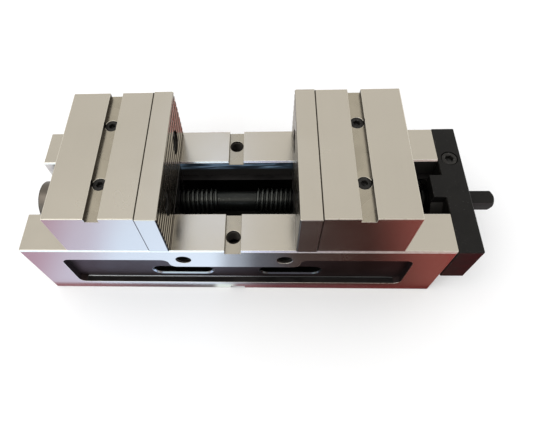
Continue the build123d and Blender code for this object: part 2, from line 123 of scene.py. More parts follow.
# cards that only reflections see: name, two corners, and colours by their place along X
OVER_FLOOR = 0.4 * MM
CARD_EDGE = -0.0762
CARDS = (
    ("front_card", (-0.36, -0.34, OVER_FLOOR), (0.36, CARD_EDGE, OVER_FLOOR), (
        (-0.26, (0.82, 0.58, 0.81)), (-0.20, (1.0, 0.98, 1.33)), (-0.14, (1.27, 1.54, 2.07)),
        (-0.035, (1.37, 1.66, 2.2)), (-0.005, (0.63, 0.74, 0.98)), (0.026, (0.18, 0.20, 0.27)),
        (0.075, (0.105, 0.075, 0.075)), (0.15, (0.085, 0.038, 0.035)), (0.235, (0.40, 0.12, 0.11)),
        (0.29, (0.62, 0.03, 0.06)))),
    ("foot_card", (-0.36, -0.0808, 1.2 * OVER_FLOOR), (0.36, CARD_EDGE, 1.2 * OVER_FLOOR), (
        (-0.2, (0.50, 0.25, 0.31)), (-0.06, (0.22, 0.17, 0.21)), (-0.030, (0.30, 0.30, 0.34)),
        (-0.022, (1.3, 1.5, 1.6)), (-0.010, (1.3, 1.5, 1.6)), (0.0, (0.42, 0.22, 0.27)),
        (0.05, (0.22, 0.07, 0.09)), (0.2, (0.22, 0.045, 0.045)))),
    ("rear_card", (-0.05, 0.15, OVER_FLOOR), (0.0, 0.22, OVER_FLOOR), (
        (-0.05, (0.42, 0.09, 0.06)), (0.0, (0.42, 0.09, 0.06)))),
    ("band_card", (-1.6, -1.8, 0.45), (1.3, -1.8, 1.6), (
        (-1.4, (1.4, 1.6, 1.7)), (-0.22, (1.6, 1.9, 2.1)), (-0.08, (1.0, 1.05, 1.5)),
        (0.25, (0.5, 0.42, 0.44)), (0.45, (0.36, 0.28, 0.29)), (0.9, (0.75, 0.58, 0.52)))),
    ("camera_side_card", (-0.6, -0.9, 0.83), (0.6, -0.9, 1.9), (
        (-0.5, (0.03, 0.03, 0.03)), (0.5, (0.03, 0.03, 0.03)))),
    ("ways_card", (-0.53, 0.7, 2.0), (-0.13, 1.8, 2.0), (
        (-0.52, (1.0, 0.985, 0.95)), (-0.36, (1.28, 1.38, 1.55)), (-0.24, (1.35, 1.45, 1.75)),
        (-0.14, (1.35, 1.45, 1.75)))),
)
# the fitted camera: its place, its yaw, pitch and roll in degrees, and the photograph's frame and middle
CAMERA_PLACE = (0.03428, -0.26477, 0.50342)
CAMERA_TURN = (-6.823, 60.167, -6.007)
PHOTO_SIZE = (554, 443)
PHOTO_MIDDLE = (240.368, 214.594)


# sizes and colours that a user would change


def length_setting(name, description, default, low=0.0):
    """A length in metres that a user would change."""
    return bpy.props.FloatProperty(
        name=name, description=description, default=default, min=low, precision=5, unit="LENGTH")


def colour_setting(name, description, default):
    """A colour that a user would change."""
    return bpy.props.FloatVectorProperty(
        name=name, description=description, default=default, size=3, min=0, max=1, subtype="COLOR")


class ViseSizes(bpy.types.PropertyGroup):
    """Sizes of the details that the frame leaves plain."""

    ground_edge: length_setting("Ground edge", "Width of the stoned edges on ground steel", 0.35 * MM)
    black_edge: length_setting("Black edge", "Width of the broken edges on black parts", 0.4 * MM)
    thread_pitch: length_setting(
        "Screw pitch", "Travel of the lead screw's thread in one turn", 5 * MM, MM)
    thread_depth: length_setting("Screw thread depth", "Height of the lead screw's thread", 2.6 * MM)
    thread_steps: bpy.props.IntProperty(
        name="Steps in a turn", description="Flat steps in one turn of the lead screw's thread",
        default=40, min=12, max=96)
    hole_pitch: length_setting(
        "Hole thread pitch", "Pitch of the threads in the tapped holes", 2 * MM, MM / 2)
    hole_thread_depth: length_setting(
        "Hole thread depth", "Height of the threads in the tapped holes", 1.05 * MM)
    head_facets: bpy.props.IntProperty(
        name="Head facets", description="Flat steps round a cap screw's head, a multiple of 12",
        default=72, min=24, max=144)


class ViseFinishes(bpy.types.PropertyGroup):
    """Colours and surface qualities of the vise's steels."""

    ground_colour: colour_setting("Ground steel", "Colour of the ground faces", (0.49, 0.455, 0.39))
    ground_roughness: bpy.props.FloatProperty(
        name="Ground roughness", description="Roughness of the ground faces",
        default=0.23, min=0, max=1, subtype="FACTOR")
    # painted shade: the pockets and keyway are milled steel made nearly black
    milled_colour: colour_setting(
        "Milled steel", "Colour of the pockets and other milled faces", (0.060, 0.042, 0.041))
    # painted shade as well as oil: the ledges in the slot and the pockets are nearly black
    ledge_colour: colour_setting(
        "Ledges", "Colour of the ledges in the slot and the pockets, dark with oil", (0.050, 0.047, 0.046))
    groove_colour: colour_setting(
        "Groove floors", "Colour of the floors of the cross groove and the jaw grooves",
        (0.40, 0.36, 0.285))
    # painted shade: groove walls, serration flanks, bevels round the plates' clamping faces and the seams
    # between plates and carriers
    shaded_colour: colour_setting(
        "Groove walls", "Colour of groove walls, serrations and joints, dark with oil",
        (0.055, 0.045, 0.035))
    # painted shade as well as oil: the slot's deep faces are nearly black
    slot_colour: colour_setting(
        "Slot", "Colour of the slot's deep faces, dark with oil", (0.022, 0.021, 0.020))
    # painted light: the slot's left end is made bright
    clean_colour: colour_setting(
        "Clean slot end", "Colour of the slot's clean left end", (0.62, 0.62, 0.61))
    bearing_colour: colour_setting(
        "Bearing block", "Colour of the bearing block in the slot's left end", (0.16, 0.14, 0.12))
    rim_colour: colour_setting(
        "Polished rims", "Colour of window rims and pocket corners", (0.30, 0.31, 0.32))
    # painted highlight: the ways' chamfers are lighter than the ground steel
    edge_colour: colour_setting("Way edges", "Colour of the ways' bright chamfers", (0.66, 0.65, 0.63))
    # painted reflection: the bluish streaks high on the slot's guide walls
    sheen_colour: colour_setting(
        "Wiped guide", "Colour of the bluish streaks high on the slot's guide walls", (0.17, 0.26, 0.38))
    # painted shade: the insides of holes are nearly black
    hole_colour: colour_setting(
        "Hole steel", "Colour inside drilled and tapped holes", (0.05, 0.045, 0.04))
    black_colour: colour_setting(
        "Black finish", "Colour of the blackened parts", (0.008, 0.0075, 0.007))
    screw_colour: colour_setting(
        "Lead screw", "Colour of the lead screw's dark flanks", (0.022, 0.023, 0.021))
    slide_colour: colour_setting(
        "Slide steel", "Colour of the slides under the jaws", (0.20, 0.19, 0.18))
    bronze_colour: colour_setting(
        "Bronze", "Colour of the bush, sleeve and washers", (0.55, 0.36, 0.14))


class ViseStage(bpy.types.PropertyGroup):
    """Floor, lights and camera."""

    floor_colour: colour_setting("Floor", "Colour of the plain floor", (0.95, 0.965, 1.0))
    room_colour: colour_setting("Room light", "Colour of the light from all round", (1.0, 0.985, 0.95))
    room_strength: bpy.props.FloatProperty(
        name="Room strength", description="Strength of the light from all round", default=1.0, min=0)
    key_power: bpy.props.FloatProperty(
        name="Key light", description="Power of the large soft light over the vise",
        default=14, min=0, unit="POWER")
    focal_length: bpy.props.FloatProperty(
        name="Focal length", description="The camera's focal length on a 36 mm sensor",
        default=29.736, min=1, subtype="DISTANCE_CAMERA")


# working by hand: selecting, editing and finishing


def pick_up(*pieces):
    """Leave edit mode and select these pieces alone, the first one active."""
    if bpy.context.object and bpy.context.object.mode != "OBJECT":
        bpy.ops.object.mode_set(mode="OBJECT")
    bpy.ops.object.select_all(action="DESELECT")
    for piece in pieces:
        piece.select_set(True)
    if pieces:
        bpy.context.view_layer.objects.active = pieces[0]


def open_mesh(piece):
    """Open a piece in edit mode with nothing selected."""
    pick_up(piece)
    bpy.ops.object.mode_set(mode="EDIT")
    bpy.ops.mesh.select_mode(type="VERT")
    bpy.ops.mesh.select_all(action="DESELECT")


def choose(piece, kind, wanted):
    """Select the vertices, edges or faces of the open piece that pass a test."""
    bpy.ops.mesh.select_mode(type=kind)
    bpy.ops.mesh.select_all(action="DESELECT")
    mesh = bmesh.from_edit_mesh(piece.data)
    for item in {"VERT": mesh.verts, "EDGE": mesh.edges, "FACE": mesh.faces}[kind]:
        if wanted(item):
            item.select_set(True)
    mesh.select_flush_mode()
    bmesh.update_edit_mesh(piece.data)


def middle(edge):
    """The point halfway along an edge."""
    return (edge.verts[0].co + edge.verts[1].co) / 2


def grow(factors, centre):
    """Resize what is selected about a point."""
    bpy.ops.transform.resize(value=factors, center_override=centre)


def extrude_by(rise):
    """Extrude what is selected along Z."""
    bpy.ops.mesh.extrude_region_move(TRANSFORM_OT_translate={"value": (0, 0, rise)})


def finish_with(piece, kind, **settings):
    """Add a modifier to a piece and apply it."""
    pick_up(piece)
    modifier = piece.modifiers.new(kind.title(), kind)
    for setting, value in settings.items():
        setattr(modifier, setting, value)
    bpy.ops.object.modifier_apply(modifier=modifier.name)


def settle(piece):
    """Put the piece's place into its mesh."""
    pick_up(piece)
    bpy.ops.object.transform_apply(location=True, rotation=True, scale=True)


def turn_outwards():
    """Turn every face of the open piece outwards."""
    bpy.ops.mesh.select_all(action="SELECT")
    bpy.ops.mesh.normals_make_consistent(inside=False)


def smooth_round(piece):
    """Shade a piece smooth but for its sharper edges."""
    pick_up(piece)
    bpy.ops.object.shade_smooth_by_angle(angle=SMOOTH_ANGLE)


def linked(name, data):
    """A new object in the scene."""
    piece = bpy.data.objects.new(name, data)
    bpy.context.scene.collection.objects.link(piece)
    return piece


def placed_copy(pattern, name, place):
    """A copy of a pattern with its own mesh, moved to its place."""
    mesh = pattern.data.copy()
    mesh.transform(place)
    mesh.update()
    return linked(name, mesh)


def coat(piece, *names):
    """Give a piece its materials; faces point at them by number."""
    piece.data.materials.clear()
    for name in names:
        piece.data.materials.append(material(name))


def set_down(piece, body, replaces):
    """Hang a finished piece on its body."""
    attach(piece, body)
    if replaces:
        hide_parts(*replaces)


def softened_copy(node, name, width, *finishes):
    """A copy of a CAD node with merged corners and outer edges rounded, which take the second finish."""
    piece = linked(name, frame["nodes"][node].data.copy())
    coat(piece, *finishes)
    open_mesh(piece)
    bpy.ops.mesh.select_all(action="SELECT")
    bpy.ops.mesh.remove_doubles(threshold=0.01 * MM)
    bpy.ops.mesh.dissolve_limited(angle_limit=math.radians(0.4))
    bpy.ops.mesh.remove_doubles(threshold=max(0.01 * MM, 0.45 * width))
    bpy.ops.mesh.faces_shade_smooth()
    pick_up(piece)
    bpy.ops.mesh.customdata_custom_splitnormals_clear()
    open_mesh(piece)
    choose(piece, "EDGE", lambda e: e.is_manifold and e.calc_face_angle_signed() < -SHARP_ANGLE)
    bpy.ops.mesh.mark_sharp()
    choose(piece, "EDGE", lambda e: e.is_manifold and e.calc_face_angle_signed() > SHARP_ANGLE)
    bpy.ops.transform.edge_bevelweight(value=1)
    pick_up()
    if width:
        finish_with(
            piece, "BEVEL", width=width, segments=2, limit_method="WEIGHT", harden_normals=True,
            material=1, use_clamp_overlap=False, miter_outer="MITER_ARC")
    return piece


def region(centre=0.0, **limits):
    """A test for faces: each of x, y, z and the normal's nx, ny, nz lies between the two limits given.

    x is measured from the centre, and all but z and nz either way. A limit of -1, or of 1 or more,
    is an open end.
    """

    def passes(at, normal):
        measured = {"x": abs(at.x - centre), "y": abs(at.y), "z": at.z, "nx": abs(normal.x),
                    "ny": abs(normal.y), "nz": normal.z}
        return all(low < measured[name] < high for name, (low, high) in limits.items())

    return passes


def beside(place):
    """Limits close about a place."""
    return place - NEAR, place + NEAR


def paint(piece, name, over, *tests):
    """Give the faces that pass any test another of the piece's materials, over those numbered."""
    index = piece.data.materials.find(name)
    for polygon in piece.data.polygons:
        if polygon.material_index in over and any(t(polygon.center, polygon.normal) for t in tests):
            polygon.material_index = index


def holes_of(name):
    """Each hole of one of the record's patterns: its mouth, the way it faces and its radius."""
    pattern = next(m for m in frame["record"]["mounts"] if m["name"] == name)
    dims, row_middle = pattern["dims"], Vector(pattern["pos_m"])
    step = Vector((dims.get("spacing_x_mm", 0), dims.get("spacing_y_mm", 0), 0)) * MM / 2
    facing = Vector(pattern["axis"])
    return [(row_middle + side * step, facing, dims["hole_r_mm"] * MM) for side in (-1, 1)]


def solids_of(node):
    """The box of each separate solid in a CAD node, as (low, high) corners."""
    mesh = bmesh.new()
    mesh.from_mesh(frame["nodes"][node].data)
    bmesh.ops.remove_doubles(mesh, verts=mesh.verts, dist=0.01 * MM)
    waiting, boxes = set(mesh.verts), []
    while waiting:
        front = [waiting.pop()]
        low, high = front[0].co.copy(), front[0].co.copy()
        while front:
            corner = front.pop()
            low = Vector(map(min, low, corner.co))
            high = Vector(map(max, high, corner.co))
            for edge in corner.link_edges:
                other = edge.other_vert(corner)
                if other in waiting:
                    waiting.discard(other)
                    front.append(other)
        boxes.append((low, high))
    mesh.free()
    return sorted(boxes, key=lambda box: tuple(box[0]))


# nodes, and effects that several materials share


def add_node(tree, kind, feeds=(), **settings):
    """A new shader node; feeds gives its inputs a value or another node's output each."""
    node = tree.nodes.new("ShaderNode" + kind)
    for setting, value in settings.items():
        setattr(node, setting, value)
    for socket, value in dict(feeds).items():
        if isinstance(value, bpy.types.NodeSocket):
            tree.links.new(value, node.inputs[socket])
        else:
            node.inputs[socket].default_value = value
    return node


def sum_up(tree, operation, first, second):
    """Two numbers brought together by a sum such as ADD or MULTIPLY."""
    return add_node(tree, "Math", {0: first, 1: second}, operation=operation).outputs[0]


def smooth_climb(tree, value, low, high):
    """A mask that climbs from 0 to 1 as a value goes from low to high."""
    feeds = {"Value": value, "From Min": low, "From Max": high}
    return add_node(tree, "MapRange", feeds, interpolation_type="SMOOTHSTEP").outputs["Result"]


def effect(name, inputs, outputs, build):
    """A shader node group with a vector and numbers in and numbers out, built the first time."""
    group = bpy.data.node_groups.get(name)
    if group:
        return group
    group = bpy.data.node_groups.new(name, "ShaderNodeTree")
    new_socket = group.interface.new_socket
    new_socket(name="Vector", in_out="INPUT", socket_type="NodeSocketVector")
    for label, default in inputs.items():
        new_socket(name=label, in_out="INPUT", socket_type="NodeSocketFloat").default_value = default
    for label in outputs:
        new_socket(name=label, in_out="OUTPUT", socket_type="NodeSocketFloat")
    given = group.nodes.new("NodeGroupInput").outputs
    result = group.nodes.new("NodeGroupOutput").inputs
    for label, output in zip(outputs, build(group, given)):
        group.links.new(output, result[label])
    return group


def grinding_lines():
    """Fine parallel lines of a grinding wheel: a height and a tone, both from 0 to 1."""

    def build(tree, given):
        lines = given["Lines per metre"]
        slower = sum_up(tree, "MULTIPLY", lines, 0.16)
        fine, broad = (
            add_node(tree, "TexNoise", {"Vector": given["Vector"], "Scale": scale, "Detail": detail})
            for scale, detail in ((lines, 2.0), (slower, 3.0)))
        mixed = {"Factor": 0.35, "A": broad.outputs["Fac"], "B": fine.outputs["Fac"]}
        return fine.outputs["Fac"], add_node(tree, "Mix", mixed).outputs["Result"]

    return effect("grinding_lines", {"Lines per metre": 900.0}, ("Height", "Tone"), build)


def oil_film():
    """Soft uneven patches, as handling and oil leave them: a mask from 0 to 1."""

    def build(tree, given):
        cloud = add_node(tree, "TexNoise", {
            "Vector": given["Vector"], "Scale": given["Patches per metre"], "Detail": 4.0,
            "Distortion": 0.6})
        low = sum_up(tree, "SUBTRACT", 0.5, given["Sharpness"])
        high = sum_up(tree, "ADD", 0.5, given["Sharpness"])
        return smooth_climb(tree, cloud.outputs["Fac"], low, high),

    return effect("oil_film", {"Patches per metre": 22.0, "Sharpness": 0.3}, ("Mask",), build)


def worn_specks():
    """Small bare specks where a black finish is rubbed through: a mask from 0 to 1."""

    def build(tree, given):
        specks = add_node(tree, "TexNoise", {
            "Vector": given["Vector"], "Scale": given["Specks per metre"], "Detail": 5.0,
            "Roughness": 0.65})
        low = sum_up(tree, "SUBTRACT", 0.8, given["Bare share"])
        return smooth_climb(tree, specks.outputs["Fac"], low, sum_up(tree, "ADD", low, 0.12)),

    return effect("worn_specks", {"Specks per metre": 700.0, "Bare share": 0.4}, ("Mask",), build)


def distance_from_axis():
    """How far a point is from the lead screw's axis, in metres."""

    def build(tree, given):
        place = add_node(tree, "SeparateXYZ", {0: given["Vector"]}).outputs
        rise = sum_up(tree, "SUBTRACT", place["Z"], given["Axis height"])
        across = add_node(tree, "CombineXYZ", {"Y": place["Y"], "Z": rise}).outputs[0]
        return add_node(tree, "VectorMath", {0: across}, operation="LENGTH").outputs["Value"],

    return effect("distance_from_axis", {"Axis height": 0.06875}, ("Distance",), build)


class Finish:
    """One material under construction, with its nodes at hand."""

    def __init__(self, name, **values):
        self.material = bpy.data.materials.new(name)
        self.material.use_nodes = True
        self.tree = self.material.node_tree
        self.shader = self.tree.nodes["Principled BSDF"]
        self.where = add_node(self.tree, "TexCoord").outputs["Object"]
        for socket, value in values.items():
            self.shader.inputs[socket.replace("_", " ")].default_value = value

    def use(self, group, stretch=None, **values):
        """Place a shared effect with this material's values, stretched by a different amount each way."""
        vector = self.where
        if stretch:
            vector = add_node(self.tree, "Mapping", {"Vector": vector, "Scale": stretch}).outputs["Vector"]
        feeds = {socket.replace("_", " "): value for socket, value in values.items()}
        return add_node(self.tree, "Group", {"Vector": vector, **feeds}, node_tree=group).outputs

    def between(self, mask, low, high):
        """A number that goes from low to high with a mask."""
        feeds = {"Value": mask, "To Min": low, "To Max": high}
        return add_node(self.tree, "MapRange", feeds).outputs["Result"]

    def colours(self, mask, first, second):
        """A colour that goes from the first to the second with a mask."""
        factor, from_colour, to_colour, result = 0, 6, 7, 2
        ends = [end if isinstance(end, bpy.types.NodeSocket) else (*end, 1) for end in (first, second)]
        feeds = {factor: mask, from_colour: ends[0], to_colour: ends[1]}
        return add_node(self.tree, "Mix", feeds, data_type="RGBA").outputs[result]

    def climb(self, axis, low, high):
        """A mask that goes from 0 to 1 between two places along an axis."""
        place = add_node(self.tree, "SeparateXYZ", {0: self.where}).outputs[axis]
        return smooth_climb(self.tree, place, low, high)

    def near_middle(self, outer, inner):
        """A mask that is 1 about the vise's middle and fades to 0 outwards both ways along X."""
        return self.times(self.climb("X", -outer, -inner), self.climb("X", outer, inner))

    def times(self, first, second):
        """Two masks multiplied."""
        return sum_up(self.tree, "MULTIPLY", first, second)

    def raise_by(self, height, distance, strength):
        """Feed a height to the shader's normal through a Bump node."""
        feeds = {"Height": height, "Distance": distance, "Strength": strength}
        self.feed(add_node(self.tree, "Bump", feeds).outputs["Normal"], "Normal")

    def feed(self, output, socket):
        """Join an output to one of the shader's sockets."""
        self.tree.links.new(output, self.shader.inputs[socket])


def shade(colour, factor):
    """A colour made darker or lighter."""
    return tuple(min(1.0, channel * factor) for channel in colour)


def tint(kind, share=1):
    """One of the user's colours, made darker or lighter."""
    return shade(getattr(bpy.context.scene.vise_finishes, f"{kind}_colour"), share)


def lined_steel(name, colour, stretch, lines, film, tones, filmed, roughness, bump, film_last=False):
    """Steel or bronze with tool lines in two tones under an oil film; bump is a height and a strength."""
    finish = Finish(name, Metallic=1.0)
    lines = finish.use(grinding_lines(), stretch, Lines_per_metre=lines)
    film = finish.use(oil_film(), Patches_per_metre=film[0], Sharpness=film[1])["Mask"]
    tone = finish.colours(lines["Tone"], *(shade(colour, share) for share in tones))
    ends = (tone, shade(colour, filmed)) if film_last else (shade(colour, filmed), tone)
    finish.feed(finish.colours(film, *ends), "Base Color")
    finish.feed(finish.between(film, *roughness), "Roughness")
    finish.raise_by(lines["Height"], *bump)
    return finish.material


def ground_steel(name, colour, stretch):
    """Bright surface-ground steel, with its lines along X or along Y."""
    roughness = bpy.context.scene.vise_finishes.ground_roughness
    return lined_steel(
        name, colour, stretch, 1100.0, (16.0, 0.28), (0.955, 1.035), 1.02,
        (roughness - 0.05, roughness + 0.05), (0.004 * MM, 0.6), film_last=True)


def milled_steel(name, colour, roughness, marks=260.0):
    """Plain milled steel with cutter marks, darkened by oil."""
    return lined_steel(
        name, colour, (0.35, 1.0, 1.0), marks, (40.0, 0.22), (0.7, 1.3), 0.8,
        (roughness - 0.08, roughness + 0.08), (0.02 * MM, 0.5))


def groove_steel(name, colour):
    """The milled floor of a groove, with streaks along Y, a little duller than the ground faces."""
    return lined_steel(
        name, colour, (1.0, 0.03, 1.0), 420.0, (45.0, 0.25), (0.80, 1.15), 0.85, (0.22, 0.32),
        (0.006 * MM, 0.5))


def bronze(name, colour):
    """Turned bearing bronze, dulled by oil."""
    return lined_steel(
        name, colour, (1.0, 0.1, 0.1), 1500.0, (120.0, 0.3), (0.85, 1.1), 0.8, (0.28, 0.42),
        (0.004 * MM, 0.5))


def smooth_steel(name, colour, specks, tones, roughness, dim=None):
    """Smooth steel of edges and rims, with painted shade that makes them dimmer right of the vise's middle
    where a share is given.
    """
    finish = Finish(name, Metallic=1.0)
    specks = finish.use(worn_specks(), Specks_per_metre=specks[0], Bare_share=specks[1])["Mask"]
    tone = finish.colours(specks, *(shade(colour, share) for share in tones))
    if dim:
        tone = finish.colours(finish.climb("X", *DIMMED), tone, shade(colour, dim))
    finish.feed(tone, "Base Color")
    finish.feed(finish.between(specks, *roughness), "Roughness")
    return finish.material


def guide_steel(name, dark):
    """The slot's guide walls: dark with oil and painted shade, with bluish streaks high up that are a
    painted reflection, and painted light at the left end.
    """
    finish = Finish(name, Specular_IOR_Level=0.3)
    sheen, clean, low, high = tint("sheen"), tint("clean"), LEDGE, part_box("vise_body")[1].z
    streaks = finish.use(oil_film(), (0.12, 1.0, 1.0), Patches_per_metre=190.0, Sharpness=0.09)["Mask"]
    fine = finish.use(oil_film(), (0.05, 1.0, 1.0), Patches_per_metre=600.0, Sharpness=0.2)["Mask"]
    rise = finish.climb("Z", low + 0.42 * (high - low), low + 0.62 * (high - low))
    sheen_here = finish.times(rise, finish.near_middle(*GUIDE_SHEEN))
    mask = finish.times(finish.times(streaks, fine), sheen_here)
    # painted reflection: a dim bluish tint high up near the middle, with bright bluish streaks over it
    base = finish.colours(sheen_here, dark, shade(sheen, 0.17))
    reflected = finish.colours(mask, base, shade(sheen, 2.4))
    # painted light: the guide walls turn bright and metallic at the slot's left end
    end = finish.climb("X", *LIT_END)
    finish.feed(finish.colours(end, reflected, clean), "Base Color")
    finish.feed(end, "Metallic")
    finish.feed(finish.between(streaks, 0.30, 0.40), "Roughness")
    return finish.material


def black_finish(name, colour, bare_share, roughness):
    """Blackened steel, rubbed through in places."""
    finish = Finish(name, Specular_IOR_Level=0.17, IOR=1.45)
    specks = finish.use(worn_specks(), Specks_per_metre=650.0, Bare_share=bare_share)["Mask"]
    film = finish.use(oil_film(), Patches_per_metre=60.0, Sharpness=0.25)["Mask"]
    dark = finish.colours(film, shade(colour, 0.8), shade(colour, 1.25))
    finish.feed(finish.colours(specks, dark, (0.10, 0.10, 0.095)), "Base Color")
    finish.feed(finish.between(film, roughness - 0.06, roughness + 0.08), "Roughness")
    finish.raise_by(specks, 0.01 * MM, 0.3)
    return finish.material


def lead_screw_steel(name, colour):
    """Dark oiled screw steel: its thread's crest rubbed brighter near the vise's middle, a painted
    highlight as well as wear, and all of it darker away from the middle, a painted shade under the jaws.
    """
    finish = Finish(name, Metallic=0.85)
    low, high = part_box("lead_screw")
    crest_radius = (high.z - low.z) / 2
    reach = finish.use(distance_from_axis(), Axis_height=(low.z + high.z) / 2)["Distance"]
    crest = smooth_climb(finish.tree, reach, crest_radius - 0.5 * MM, crest_radius - 0.05 * MM)
    specks = finish.use(worn_specks(), Specks_per_metre=500.0, Bare_share=0.25)["Mask"]
    dark = finish.colours(specks, colour, shade(colour, 2.2))
    # the crest's brighter colour: wear and a painted highlight
    thread = finish.colours(crest, dark, shade(colour, 2.8))
    # painted shade under the jaws: darker away from the middle
    clear = finish.near_middle(*THREAD_SHADE)
    finish.feed(finish.colours(clear, shade(colour, 0.35), thread), "Base Color")
    finish.feed(finish.between(specks, 0.34, 0.24), "Roughness")
    return finish.material


# each material: its maker, the user's colour it starts from and how bright, and the maker's own values
MATERIALS = {
    "ground_along": (ground_steel, "ground", 1, (0.02, 1.0, 1.0)),
    "ground_across": (ground_steel, "ground", 1, (1.0, 0.02, 1.0)),
    "stoned_edge": (smooth_steel, "ground", 1, (400.0, 0.45), (1.12, 1.3), (0.22, 0.34)),
    # polished rims: dimmed right of the middle, a painted shade
    "polished_rim": (smooth_steel, "rim", 1, (300.0, 0.35), (1, 1.1), (0.14, 0.2), 0.28),
    "way_edge": (smooth_steel, "edge", 1, (300.0, 0.35), (1, 1.1), (0.16, 0.22)),
    "milled": (milled_steel, "milled", 1, 0.55),
    "ledge": (milled_steel, "ledge", 1, 0.45),
    "bearing_steel": (milled_steel, "bearing", 1, 0.38, 400.0),
    "drilled": (milled_steel, "hole", 1, 0.5, 500.0),
    "shaded": (milled_steel, "shaded", 1, 0.4, 700.0),
    "slot_deep": (milled_steel, "slot", 1, 0.4),
    "slide": (milled_steel, "slide", 1, 0.32, 500.0),
    "slide_edge": (milled_steel, "slide", 1.2, 0.3, 500.0),
    "groove_floor": (groove_steel, "groove", 1),
    # the guide walls: painted shade, a painted reflection high up and painted light at the left end
    "guide_wall": (guide_steel, "slot", 1),
    "black": (black_finish, "black", 1, 0.16, 0.46),
    "black_edge": (black_finish, "black", 1.2, 0.22, 0.42),
    # painted sheen: a lighter black on the end plate's boss
    "boss": (black_finish, "black", 3.2, 0.14, 0.4),
    "fastener": (black_finish, "black", 2.4, 0.22, 0.36),
    "fastener_socket": (black_finish, "black", 2, 0.2, 0.36),
    "lead_screw": (lead_screw_steel, "screw", 1),
    "bronze": (bronze, "bronze", 1),
}


def material(name):
    """One of the vise's materials, made the first time it is asked for."""
    maker, kind, share, *values = MATERIALS[name]
    return bpy.data.materials.get(name) or maker(name, tint(kind, share), *values)


# pieces


def body_block(sizes):
    """The slotted body: ground outside; its slot, pockets, grooves and holes dark with oil and painted
    shade.
    """
    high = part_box("vise_body")[1]
    pocket_wall = high.y - POCKET_DEPTH
    piece = softened_copy(
        "vise_body", "body_block", sizes.ground_edge, "ground_along", "stoned_edge", "milled",
        "drilled", "groove_floor", "shaded", "slot_deep", "guide_wall", "ledge", "polished_rim",
        "way_edge")
    open_mesh(piece)
    choose(piece, "EDGE", lambda e: (
        abs(middle(e).z - POCKET_LEDGE) < NEAR and abs(abs(middle(e).y) - pocket_wall) < NEAR
        and abs(e.verts[0].co.x - e.verts[1].co.x) > 10 * MM))
    bpy.ops.mesh.bevel(offset=POCKET_FILLET, segments=4, affect="EDGES", material=1)
    pick_up()
    holes = holes_of("groove_holes") + holes_of("front_side_holes") + holes_of("rear_side_holes")

    def drilled(at, normal):
        for mouth, facing, radius in holes:
            depth = (mouth - at).dot(facing)
            across = (at + depth * facing - mouth).length
            if NEAR < depth < 5 * radius and across < radius + NEAR:
                return True
        return False

    groove = {"x": (-1, GROOVE_HALF + NEAR), "z": (high.z - GROOVE_DEPTH - NEAR, high.z)}
    fillet = (pocket_wall + NEAR - POCKET_FILLET, pocket_wall + NEAR + POCKET_FILLET)
    # painted shade in the holes
    paint(piece, "drilled", (0,), drilled)
    # painted highlight on the ways' chamfers
    paint(piece, "way_edge", (0, 1), region(
        x=(-1, high.x - 2 * MM), z=(high.z - 2 * MM, 1), ny=(0.5, 1), nz=(0.5, 0.9)))
    # painted shade and a painted reflection on the guide walls, painted light at their left end
    paint(piece, "guide_wall", (0,), region(y=beside(GUIDE_HALF), z=(LEDGE, 1), ny=SQUARE))
    # painted shade on the ledges
    paint(piece, "ledge", (0,), *(region(z=beside(z), nz=SQUARE) for z in (POCKET_LEDGE, LEDGE)))
    # painted shade in the slot's floor, undercut and windows
    paint(
        piece, "slot_deep", (0, 1),
        region(x=(-1, high.x - MM), y=(-1, UNDERCUT_HALF + NEAR), z=(SLOT_FLOOR - NEAR, LEDGE + NEAR)),
        region(y=(-1, pocket_wall - WINDOW_RIM), z=(SLOT_FLOOR, RAIL_UNDERSIDE + NEAR)))
    # polished rims and pocket corners, with painted shade right of the middle
    paint(
        piece, "polished_rim", (0, 1),
        region(y=fillet, z=(POCKET_LEDGE - POCKET_FILLET, POCKET_LEDGE + POCKET_FILLET), ny=(-1, 0.98),
               nz=(0.1, 2)),
        region(y=(pocket_wall - WINDOW_RIM, pocket_wall + NEAR), z=WINDOW_LEVELS, ny=(0.1, 0.98)))
    # painted shade in the pockets and the keyway
    paint(
        piece, "milled", (0,),
        region(x=(-1, high.x - POCKET_END_WALL), y=(UNDERCUT_HALF, high.y - NEAR), z=POCKET_LEVELS),
        region(x=(-1, GROOVE_HALF + NEAR), z=(-1, KEYWAY_DEPTH + NEAR)))
    paint(piece, "groove_floor", (0,), region(**groove, nz=SQUARE))
    # painted shade on the groove walls
    paint(piece, "shaded", (0,), region(**groove, nx=SQUARE))
    set_down(piece, "base", ["vise_body"])


def jaw_plate(sizes, side, joint):
    """One serrated plate: painted shade in its teeth, round its faces and in its drilled bolt holes."""
    low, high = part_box(f"{side}_jaw_plate")
    face = low.x if side == "right" else high.x
    inset, margin = 5 * MM, 0.7 * MM
    teeth = {"x": (-1, SERRATION_DEPTH + NEAR), "ny": (-1, 0.1)}
    plate = softened_copy(
        f"{side}_jaw_plate", f"{side}_jaw_plate_ground", 0.3 * sizes.ground_edge, "ground_across",
        "stoned_edge", "drilled", "shaded")
    # painted shade in the serrations' teeth
    paint(plate, "shaded", (0,), *(
        region(face, **teeth, nz=slope) for slope in ((0.2, 0.95), (-0.95, -0.2))))
    # painted shade in the bolt holes and their seats
    paint(
        plate, "drilled", (0,),
        region(face, x=(NEAR, 1), y=(-1, high.y - inset), z=(low.z + inset, high.z - inset), nx=(-1, 0.2)),
        region(face, x=(inset, abs(joint - face) - inset), nx=SQUARE))
    # painted shade at the joint and round the clamping face
    paint(
        plate, "shaded", (0, 1), region(joint, x=(-1, SEAM), nz=(-2, 0.5)),
        region(face, x=(-1, 2 * margin), z=(low.z + margin, high.z - margin), nx=(-1, 0.99)))
    set_down(plate, f"{side}_jaw", [f"{side}_jaw_plate"])


